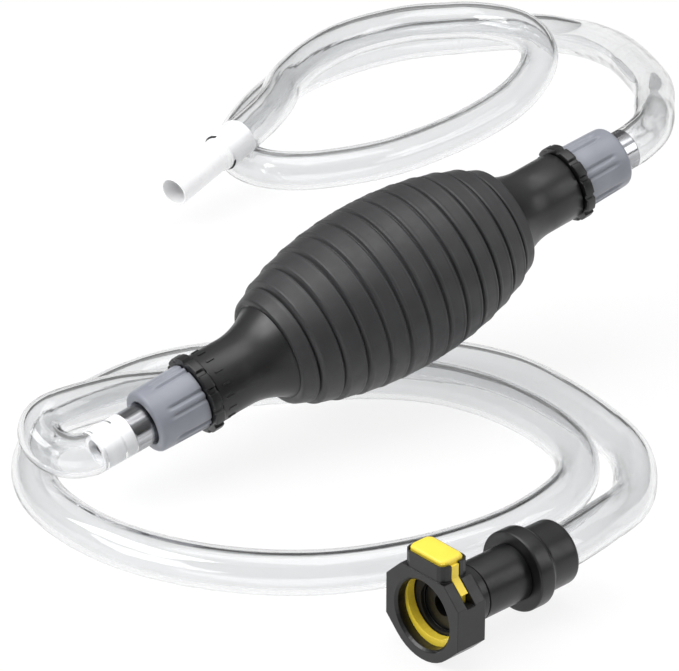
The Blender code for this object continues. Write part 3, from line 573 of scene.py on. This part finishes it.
def squeeze_bulb(colours):
    edge = belly_radius(BELLY_HALF)
    outer = []
    for k in range(BELLY_STEPS + 1):
        x = -BELLY_HALF + 2.0 * BELLY_HALF * k / BELLY_STEPS
        radius = ribbed_radius(x)
        margin = BELLY_HALF - abs(x)
        if margin < BELLY_EDGE:
            radius -= BELLY_EDGE * (1.0 - math.sqrt(1.0 - (1.0 - margin / BELLY_EDGE) ** 2))
        outer.append((x, radius))
    neck = []
    top = edge - NECK_STEP
    for k in range(NECK_STEPS + 1):
        share = k / NECK_STEPS
        x = BELLY_HALF - 0.3 * MM + share * (NECK_FROM - BELLY_HALF + 0.3 * MM)
        neck.append((x, NECK_R + (1.0 - share) ** NECK_CURVE * (top - NECK_R)))
    neck += [(NECK_END - 0.6 * MM, NECK_R), (NECK_END - 0.2 * MM, NECK_R - 0.2 * MM)]
    neck.append((NECK_END, NECK_R - 0.6 * MM))
    profile = [(-x, r) for x, r in reversed(neck)] + outer + neck
    profile += [(NECK_END, NECK_BORE_R), (NECK_END - PLUG_DEPTH, NECK_BORE_R)]
    profile += [(PLUG_DEPTH - NECK_END, NECK_BORE_R), (-NECK_END, NECK_BORE_R)]
    made = lathe(
        "bulb", profile, BULB_SIDES, PUMP, [colours["rubber"], colours["neck"]], sharp_degrees=60.0
    )
    for face in made.data.polygons:
        if abs(face.center.x) > BELLY_HALF - 0.45 * MM:
            face.material_index = 1
    made.data.transform(PUMP)
    made.matrix_world = Matrix.Identity(4)
    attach(made, "pump")
    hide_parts("squeeze_bulb")


BOX_FACES = ((0, 1, 3, 2), (4, 6, 7, 5), (0, 4, 5, 1), (2, 3, 7, 6), (1, 5, 7, 3), (0, 2, 6, 4))


def neck_ticks(colours):
    """Short raised marks round the suction neck, beside the flange."""
    count = 16
    long_half, wide_half, high = 1.7 * MM, 0.4 * MM, 0.4 * MM
    vertices, faces = [], []
    for k in range(count):
        turn = Matrix.Rotation(2.0 * math.pi * (k + 0.3) / count, 4, "X")
        base = len(vertices)
        for x in (-1, 1):
            for y in (-1, 1):
                for z in (0, 1):
                    shrink = 0.6 if z else 1.0
                    point = Vector((
                        NECK_END - 4.2 * MM + x * long_half * (0.9 if z else 1.0),
                        y * wide_half * shrink,
                        NECK_R - 0.25 * MM + z * (high + 0.25 * MM),
                    ))
                    vertices.append(turn @ point)
        for face in BOX_FACES:
            faces.append([base + i for i in face])
    made = finish_mesh("neck_ticks", vertices, faces, ENDS["suction"], [colours["neck"]])
    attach(made, "pump")


# ------------------------------------------------------------------ pump ends
FINE_SIDES = 288  # for turned pieces that are notched or fluted
SMALL_SIDES = 96
FLANGE_R = 15.2 * MM
PLUG_R = 9.0 * MM
PLUG_SHOWN = 6.0 * MM
NOTCHES = 12.0
NOTCH_DEPTH = 1.0 * MM
NOTCH_FROM_R = 13.0 * MM
FLUTE_PAIRS = 6.0
FLUTE_DEPTH = 0.85 * MM
FLUTE_FROM_R = 11.2 * MM
NUT_R = 12.6 * MM
NUT_SKIRT_R = 10.6 * MM
NUT_BORE_R = 10.0 * MM
COLLET_HOLE_R = 8.25 * MM


def notched(_, radius, angle):
    """Twelve notches round the flange's rim."""
    if radius < NOTCH_FROM_R:
        return radius
    dip = smooth_step((math.cos(NOTCHES * angle) - 0.55) / 0.3)
    return radius - NOTCH_DEPTH * dip * min(1.0, (radius - NOTCH_FROM_R) / (1.2 * MM))


def neck_fitting(side, colours):
    corners = [
        (FLANGE_AT - PLUG_SHOWN, FLOW_R), (FLANGE_AT - PLUG_SHOWN, PLUG_R), (FLANGE_AT, PLUG_R),
        (FLANGE_AT, FLANGE_R), (SPIGOT_AT, FLANGE_R), (SPIGOT_AT, SPIGOT_R),
        (SPIGOT_END, SPIGOT_R), (SPIGOT_END, FLOW_R),
    ]
    radii = [0, 0, 0, 0.7 * MM, 0.7 * MM, 0, 0.5 * MM, 0]
    made = lathe(
        side + "_flange", fillet(corners, radii), FINE_SIDES, ENDS[side], [colours["black"]],
        notched,
    )
    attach(made, "pump")
    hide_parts(side + "_neck_fitting", side + "_sealing_washer")


def fluted(x, radius, angle):
    """Pairs of flutes between wide lands; they fade out towards the nut's outer end."""
    if radius < FLUTE_FROM_R:
        return radius
    fade = 1.0 - smooth_step((x - (NUT_END - 8.5 * MM)) / (4.0 * MM))
    turn = (angle * FLUTE_PAIRS / (2.0 * math.pi)) % 1.0
    depth = 0.0
    for middle in (0.37, 0.63):
        away = abs(turn - middle) / 0.085
        if away < 1.0:
            depth = max(depth, 0.5 + 0.5 * math.cos(math.pi * away))
    ridge = max(0.0, 1.0 - abs(turn - 0.5) / 0.07)
    return radius - FLUTE_DEPTH * fade * depth ** 0.7 + 0.12 * MM * fade * ridge


def cap_nut(side, colours):
    corners = [
        (NUT_AT, NUT_SKIRT_R), (NUT_AT, NUT_R), (NUT_END - 5.0 * MM, 12.25 * MM),
        (NUT_END, 12.0 * MM), (NUT_END, 8.5 * MM), (NUT_END - 2.0 * MM, 8.5 * MM),
        (NUT_END - 2.0 * MM, NUT_BORE_R), (STEM_AT, NUT_BORE_R), (STEM_AT, NUT_SKIRT_R),
    ]
    radii = [0, 0.4 * MM, 2.0 * MM, 1.7 * MM, 0.35 * MM, 0, 0, 0, 0]
    outline = fillet(corners, radii)
    wall = []
    for k, (x, r) in enumerate(outline):
        wall.append((x, r))
        after = outline[(k + 1) % len(outline)]
        if min(r, after[1]) > FLUTE_FROM_R and abs(after[0] - x) > 2.0 * MM:
            for step in range(1, 24):
                share = step / 24
                wall.append((x + (after[0] - x) * share, r + (after[1] - r) * share))
    made = lathe(side + "_nut", wall, FINE_SIDES, ENDS[side], [colours["grey"]], fluted)
    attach(made, side + "_nut")
    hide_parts(side + "_cap_nut")


def grip_ring(name, body, where, start, length, wall, colours):
    corners = [
        (start, COLLET_HOLE_R), (start, COLLET_HOLE_R + wall),
        (start + 0.6 * length, COLLET_HOLE_R + wall),
        (start + length, COLLET_HOLE_R + 0.6 * wall), (start + length, COLLET_HOLE_R),
    ]
    outline = fillet(corners, [wall * 0.15] * len(corners), 3)
    made = lathe(name + "_collet", outline, SMALL_SIDES, where, [colours["white"]])
    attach(made, body)
    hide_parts(name)


WINDOW_AT = STEM_END + 2.3 * MM
WINDOW_ANGLE = math.radians(255.0)
WINDOW_DEPTH = 0.75 * MM
CARTRIDGE_SIDES = 128
SEAT_R = 2.6 * MM
CAGE_R = 4.3 * MM


def windowed(x, radius, angle):
    """A lens-shaped window cut into the cartridge, next to the stem."""
    if radius < 5.5 * MM:
        return radius
    turn = (angle - WINDOW_ANGLE + math.pi) % (2.0 * math.pi) - math.pi
    reach = math.hypot((x - WINDOW_AT) / (1.0 * MM), turn / 0.75)
    return radius - WINDOW_DEPTH * smooth_step((1.0 - reach) / 0.25)


def stem_and_valve(side, colours):
    stem = [
        (STEM_AT, FLOW_R), (STEM_AT, STEM_FLANGE_R), (CUFF_AT - GAP, STEM_FLANGE_R),
        (CUFF_AT - GAP, HELD_R), (STEM_END, HELD_R), (STEM_END, FLOW_R),
    ]
    radii = [0, 0, 0, 0, 0.4 * MM, 0.2 * MM]
    made = lathe(side + "_stem", fillet(stem, radii), SMALL_SIDES, ENDS[side], [colours["plated"]])
    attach(made, "pump")
    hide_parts(side + "_hose_stem")
    if side == "discharge":
        return

    start = STEM_END + 0.15 * MM
    body = [
        (start, 5.55 * MM), (start, HELD_R), (start + 4.3 * MM, HELD_R),
        (start + 4.6 * MM, 5.8 * MM), (start + 5.0 * MM, 5.8 * MM), (start + 5.3 * MM, HELD_R),
        (VALVE_END - 1.6 * MM, HELD_R), (VALVE_END - 1.2 * MM, 5.75 * MM),
        (VALVE_END - 0.8 * MM, HELD_R), (VALVE_END, HELD_R), (VALVE_END, CAGE_R),
        (start + 6.5 * MM, CAGE_R), (start + 6.5 * MM, SEAT_R), (start + 5.2 * MM, SEAT_R),
        (start + 5.2 * MM, 5.55 * MM),
    ]
    dense = []
    for k, (x, r) in enumerate(body):
        dense.append((x, r))
        after = body[(k + 1) % len(body)]
        if r > 5.9 * MM and after[1] > 5.9 * MM and after[0] - x > 2.0 * MM:
            dense += [(x + (after[0] - x) * s / 20, r) for s in range(1, 20)]
    made = lathe(
        side + "_cartridge", dense, CARTRIDGE_SIDES, ENDS[side], [colours["frosted"]], windowed
    )
    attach(made, "pump")
    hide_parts(side + "_valve_body", side + "_valve_cage")


def show_cad(node, finish):
    """Keep a CAD node as it is and give it its finish."""
    made = frame["nodes"][node]
    made.data.materials.clear()
    made.data.materials.append(finish)
    made.data.shade_smooth()
    made.data.set_sharp_from_angle(angle=math.radians(32.0))
    return made


# ------------------------------------------------------------------ coupling
COUPLING_SIDES = 144
BARREL_NOSE_R = 8.7 * MM
BARREL_BORE_R = 4.0 * MM
SHOULDER_R = 13.0 * MM
COLLAR_R = 14.7 * MM
GRIP_SEAT_R = 9.7 * MM


def coupling_barrel(colours):
    nose = -9.8 * MM
    corners = [
        (nose, BARREL_BORE_R), (nose, BARREL_NOSE_R), (-HEAD_BACK, BARREL_NOSE_R),
        (-HEAD_BACK, SHOULDER_R), (-15.6 * MM, SHOULDER_R), (-17.9 * MM, BARREL_R),
        (-21.6 * MM, BARREL_R), (-21.8 * MM, 9.9 * MM), (-22.2 * MM, 9.9 * MM),
        (-22.4 * MM, BARREL_R), (-BARREL_END, BARREL_R), (-BARREL_END, RELIEF_R),
        (-TAIL_END, RELIEF_R), (-TAIL_END, HELD_R), (-BARB_END, 5.2 * MM),
        (-BARB_END, BARREL_BORE_R),
    ]
    radii = [
        0, 0.3 * MM, 0, 0.3 * MM, 0.5 * MM, 2.2 * MM, 0.1 * MM, 0, 0, 0.1 * MM, 0, 0, 0, 0,
        0.3 * MM, 0,
    ]
    made = lathe(
        "coupling_body", fillet(corners, radii), COUPLING_SIDES, COUPLING, [colours["black"]]
    )
    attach(made, "pump")
    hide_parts("coupling_barrel")


def coupling_hose_nut(colours):
    front, hole = -BARREL_END - GAP, 8.3 * MM
    corners = [
        (front, hole), (front, COLLAR_R), (-COLLAR_END, COLLAR_R), (-50.6 * MM, 11.95 * MM),
        (-SLEEVE_END, 11.85 * MM), (-SLEEVE_END, SLEEVE_BORE_R), (-TAIL_GRIP_END, SLEEVE_BORE_R),
        (-TAIL_GRIP_END, GRIP_SEAT_R), (-TAIL_END, GRIP_SEAT_R), (-TAIL_END, hole),
    ]
    radii = [0.4 * MM, 0.9 * MM, 0.9 * MM, 1.1 * MM, 1.9 * MM, 0.4 * MM, 0, 0, 0, 0]
    made = lathe(
        "coupling_sleeve", fillet(corners, radii), COUPLING_SIDES, COUPLING, [colours["black"]]
    )
    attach(made, "coupling_nut")
    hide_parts("coupling_hose_nut")


def rounded_loop(half_y, near, far, corner, z, steps=10):
    """Points of a rounded rectangle in the pad's plane; x runs back from the coupling's mouth."""
    points = []
    for y, x, start in (
        (half_y - corner, far - corner, 0.0), (corner - half_y, far - corner, 90.0),
        (corner - half_y, near + corner, 180.0), (half_y - corner, near + corner, 270.0),
    ):
        for k in range(steps + 1):
            angle = math.radians(start + 90.0 * k / steps)
            points.append((-(x + corner * math.sin(angle)), y + corner * math.cos(angle), z))
    return points


def thumb_pad(colours):
    """A softly domed cap over the latch plate's thumb pad."""
    near, far, half_y = 1.45 * MM, 11.35 * MM, 8.55 * MM
    low, top, corner = 21.9 * MM, 23.45 * MM, 2.4 * MM
    round_over, steps = 1.0 * MM, 8
    levels = [(0.0, low), (0.0, top - round_over)]
    for k in range(1, steps + 1):
        angle = math.radians(90.0 * k / steps)
        inset, drop = (round_over * (1.0 - part(angle)) for part in (math.cos, math.sin))
        levels.append((inset, top - drop))
    levels += [(2.2 * MM, top + 0.07 * MM), (3.6 * MM, top + 0.12 * MM)]
    vertices, faces = [], []
    for inset, z in levels:
        rounding = max(corner - inset * 0.6, 0.5 * MM)
        loop = rounded_loop(half_y - inset, near + inset, far - inset, rounding, z)
        vertices += loop
    count = len(loop)
    for k in range(len(levels) - 1):
        for s in range(count):
            t = (s + 1) % count
            faces.append((k * count + s, k * count + t, (k + 1) * count + t, (k + 1) * count + s))
    faces.append(list(range(count)))
    faces.append([(len(levels) - 1) * count + s for s in reversed(range(count))])
    made = finish_mesh("thumb_pad", vertices, faces, COUPLING, [colours["yellow"]])
    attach(made, "latch")


# ------------------------------------------------------------------ nozzle
def nozzle(colours):
    ring, bore = 1.4 * MM, 4.9 * MM
    big, small = 7.3 * MM, 6.9 * MM
    corners = [
        (-NOZZLE_INSERT, bore), (-NOZZLE_INSERT, HELD_R), (GAP, HELD_R), (GAP, big),
        (GAP + ring, big), (GAP + ring, small), (GAP + 2 * ring, small),
        (2 * GAP + 2 * ring, 6.4 * MM), (NOZZLE_LENGTH, 6.2 * MM), (NOZZLE_LENGTH, 5.4 * MM),
        (5.6 * MM, 5.3 * MM), (2.8 * MM, bore),
    ]
    radii = [
        0.2 * MM, 0.4 * MM, 0, 0.5 * MM, 0.4 * MM, 0.1 * MM, 0.4 * MM, 0.3 * MM, 0.35 * MM,
        0.3 * MM, 0, 0,
    ]
    made = lathe("nozzle", fillet(corners, radii), NOZZLE_SIDES, NOZZLE, [colours["white"]])
    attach(made, "pump")
    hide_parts("outlet_nozzle")
    return made


# ------------------------------------------------------------------ studio
FLOOR_HALF = 6.0
FLOOR_GLOW = 0.86  # share of the floor's look that is plain white to the eye
LIGHTS_AIM = Vector((0.0, 0.06, 0.03))
WORLD_STOPS = ((0.0, 0.08), (0.15, 0.14), (0.4, 0.34), (0.75, 0.6))  # height, grey level
MAX_BOUNCES = 32
CLEAR_BOUNCES = 24


def floor():
    """A pale floor that is white to the eye but keeps a soft part of the shadow."""
    shader = Shader("floor", (0.86, 0.86, 0.86), 0.9, specular=0.1)
    path = shader.node("ShaderNodeLightPath")
    seen = shader.node("ShaderNodeMath", operation="MAXIMUM")
    any_ray = shader.node("ShaderNodeMath", operation="MAXIMUM")
    share = shader.node("ShaderNodeMath", operation="MULTIPLY")
    glow = shader.node("ShaderNodeEmission", Color=(1.0, 1.0, 1.0, 1.0), Strength=1.0)
    mixed = shader.node("ShaderNodeMixShader")
    shader.link(path.outputs["Is Camera Ray"], seen.inputs[0])
    shader.link(path.outputs["Is Transmission Ray"], seen.inputs[1])
    shader.link(seen.outputs[0], any_ray.inputs[0])
    shader.link(path.outputs["Is Glossy Ray"], any_ray.inputs[1])
    shader.link(any_ray.outputs[0], share.inputs[0])
    share.inputs[1].default_value = FLOOR_GLOW
    shader.link(share.outputs[0], mixed.inputs[0])
    shader.link(shader.surface.outputs["BSDF"], mixed.inputs[1])
    shader.link(glow.outputs["Emission"], mixed.inputs[2])
    shader.link(mixed.outputs["Shader"], shader.tree.nodes["Material Output"].inputs["Surface"])
    vertices = [
        (x * FLOOR_HALF, y * FLOOR_HALF, 0.0) for x, y in ((-1, -1), (1, -1), (1, 1), (-1, 1))
    ]
    made = finish_mesh("floor", vertices, [(0, 1, 2, 3)], Matrix.Identity(4), [shader.material])


def world():
    """White behind the object; elsewhere bright overhead and dimmer near the horizon."""
    made = bpy.data.worlds.new("studio")
    made.use_nodes = True
    tree = made.node_tree
    background = tree.nodes["Background"]
    coordinates = tree.nodes.new("ShaderNodeTexCoord")
    split = tree.nodes.new("ShaderNodeSeparateXYZ")
    ramp = tree.nodes.new("ShaderNodeValToRGB")
    path = tree.nodes.new("ShaderNodeLightPath")
    pick = tree.nodes.new("ShaderNodeMix")
    pick.data_type = "RGBA"
    elements = ramp.color_ramp.elements
    while len(elements) < len(WORLD_STOPS):
        elements.new(0.5)
    for element, (position, level) in zip(elements, WORLD_STOPS):
        element.position = position
        element.color = (level, level, level, 1.0)
    tree.links.new(coordinates.outputs["Generated"], split.inputs[0])
    tree.links.new(split.outputs["Z"], ramp.inputs["Fac"])
    tree.links.new(path.outputs["Is Camera Ray"], pick.inputs["Factor"])
    tree.links.new(ramp.outputs["Color"], pick.inputs["A"])
    pick.inputs["B"].default_value = (1.0, 1.0, 1.0, 1.0)
    tree.links.new(pick.outputs["Result"], background.inputs["Color"])
    bpy.context.scene.world = made


def softbox(name, at, size, power):
    data = bpy.data.lights.new(name, "AREA")
    data.shape = "RECTANGLE"
    data.size, data.size_y = size
    data.energy = power
    made = bpy.data.objects.new(name, data)
    made.location = at
    aim = LIGHTS_AIM - Vector(at)
    made.rotation_euler = aim.to_track_quat("-Z", "Y").to_euler()
    bpy.context.collection.objects.link(made)


def studio():
    floor()
    world()
    softbox("key_left", (-0.95, 0.35, 1.05), (1.1, 0.7), 15.0)
    softbox("top", (0.15, 0.1, 1.5), (1.2, 1.2), 10.0)
    softbox("fill_right", (1.0, -0.9, 0.7), (0.6, 0.9), 3.5)


# ------------------------------------------------------------------ assembly
def main():
    camera()
    colours = make_materials()
    tip = nozzle(colours)
    suction, suction_line = hose(
        "suction_hose_tube", ENDS["suction"], VALVE_END + GAP, CUFF_AT, COUPLING,
        -BARB_END - GAP, -CUFF_FRONT, SUCTION_ROUTE, colours["pvc"],
    )
    discharge, discharge_line = hose(
        "discharge_hose_tube", ENDS["discharge"], STEM_END + GAP, CUFF_AT, NOZZLE,
        -NOZZLE_INSERT - GAP, 0.0, DISCHARGE_ROUTE, colours["pvc"],
    )
    for piece in (suction, discharge):
        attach(piece, "pump")
    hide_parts("suction_hose", "suction_hose_cuff", "coupling_hose_cuff")
    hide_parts("discharge_hose", "discharge_hose_cuff", "nozzle_hose_cuff")

    squeeze_bulb(colours)
    neck_ticks(colours)
    for side, where in ENDS.items():
        neck_fitting(side, colours)
        cap_nut(side, colours)
        grip_ring(side + "_grip_ring", side + "_grip", where, GRIP_AT, 4.0 * MM, 1.4 * MM, colours)
        stem_and_valve(side, colours)
        show_cad(side + "_valve_ball", colours["inside"])
    show_cad("discharge_valve_body", colours["frosted"])
    show_cad("discharge_valve_cage", colours["frosted"])

    show_cad("coupling_head", colours["black_edged"])
    show_cad("coupling_latch_plate", colours["yellow"])
    show_cad("coupling_latch_spring", colours["plated"])
    show_cad("coupling_seal", colours["seal"])
    coupling_barrel(colours)
    coupling_hose_nut(colours)
    thumb_pad(colours)
    grip_ring(
        "coupling_grip_ring", "coupling_grip", COUPLING, -TAIL_GRIP_AT, -5.0 * MM, 1.1 * MM, colours
    )
    studio()
    scene = bpy.context.scene
    scene.view_settings.view_transform = "Standard"
    scene.cycles.max_bounces = MAX_BOUNCES
    scene.cycles.transmission_bounces = CLEAR_BOUNCES
    scene.cycles.transparent_max_bounces = CLEAR_BOUNCES


main()
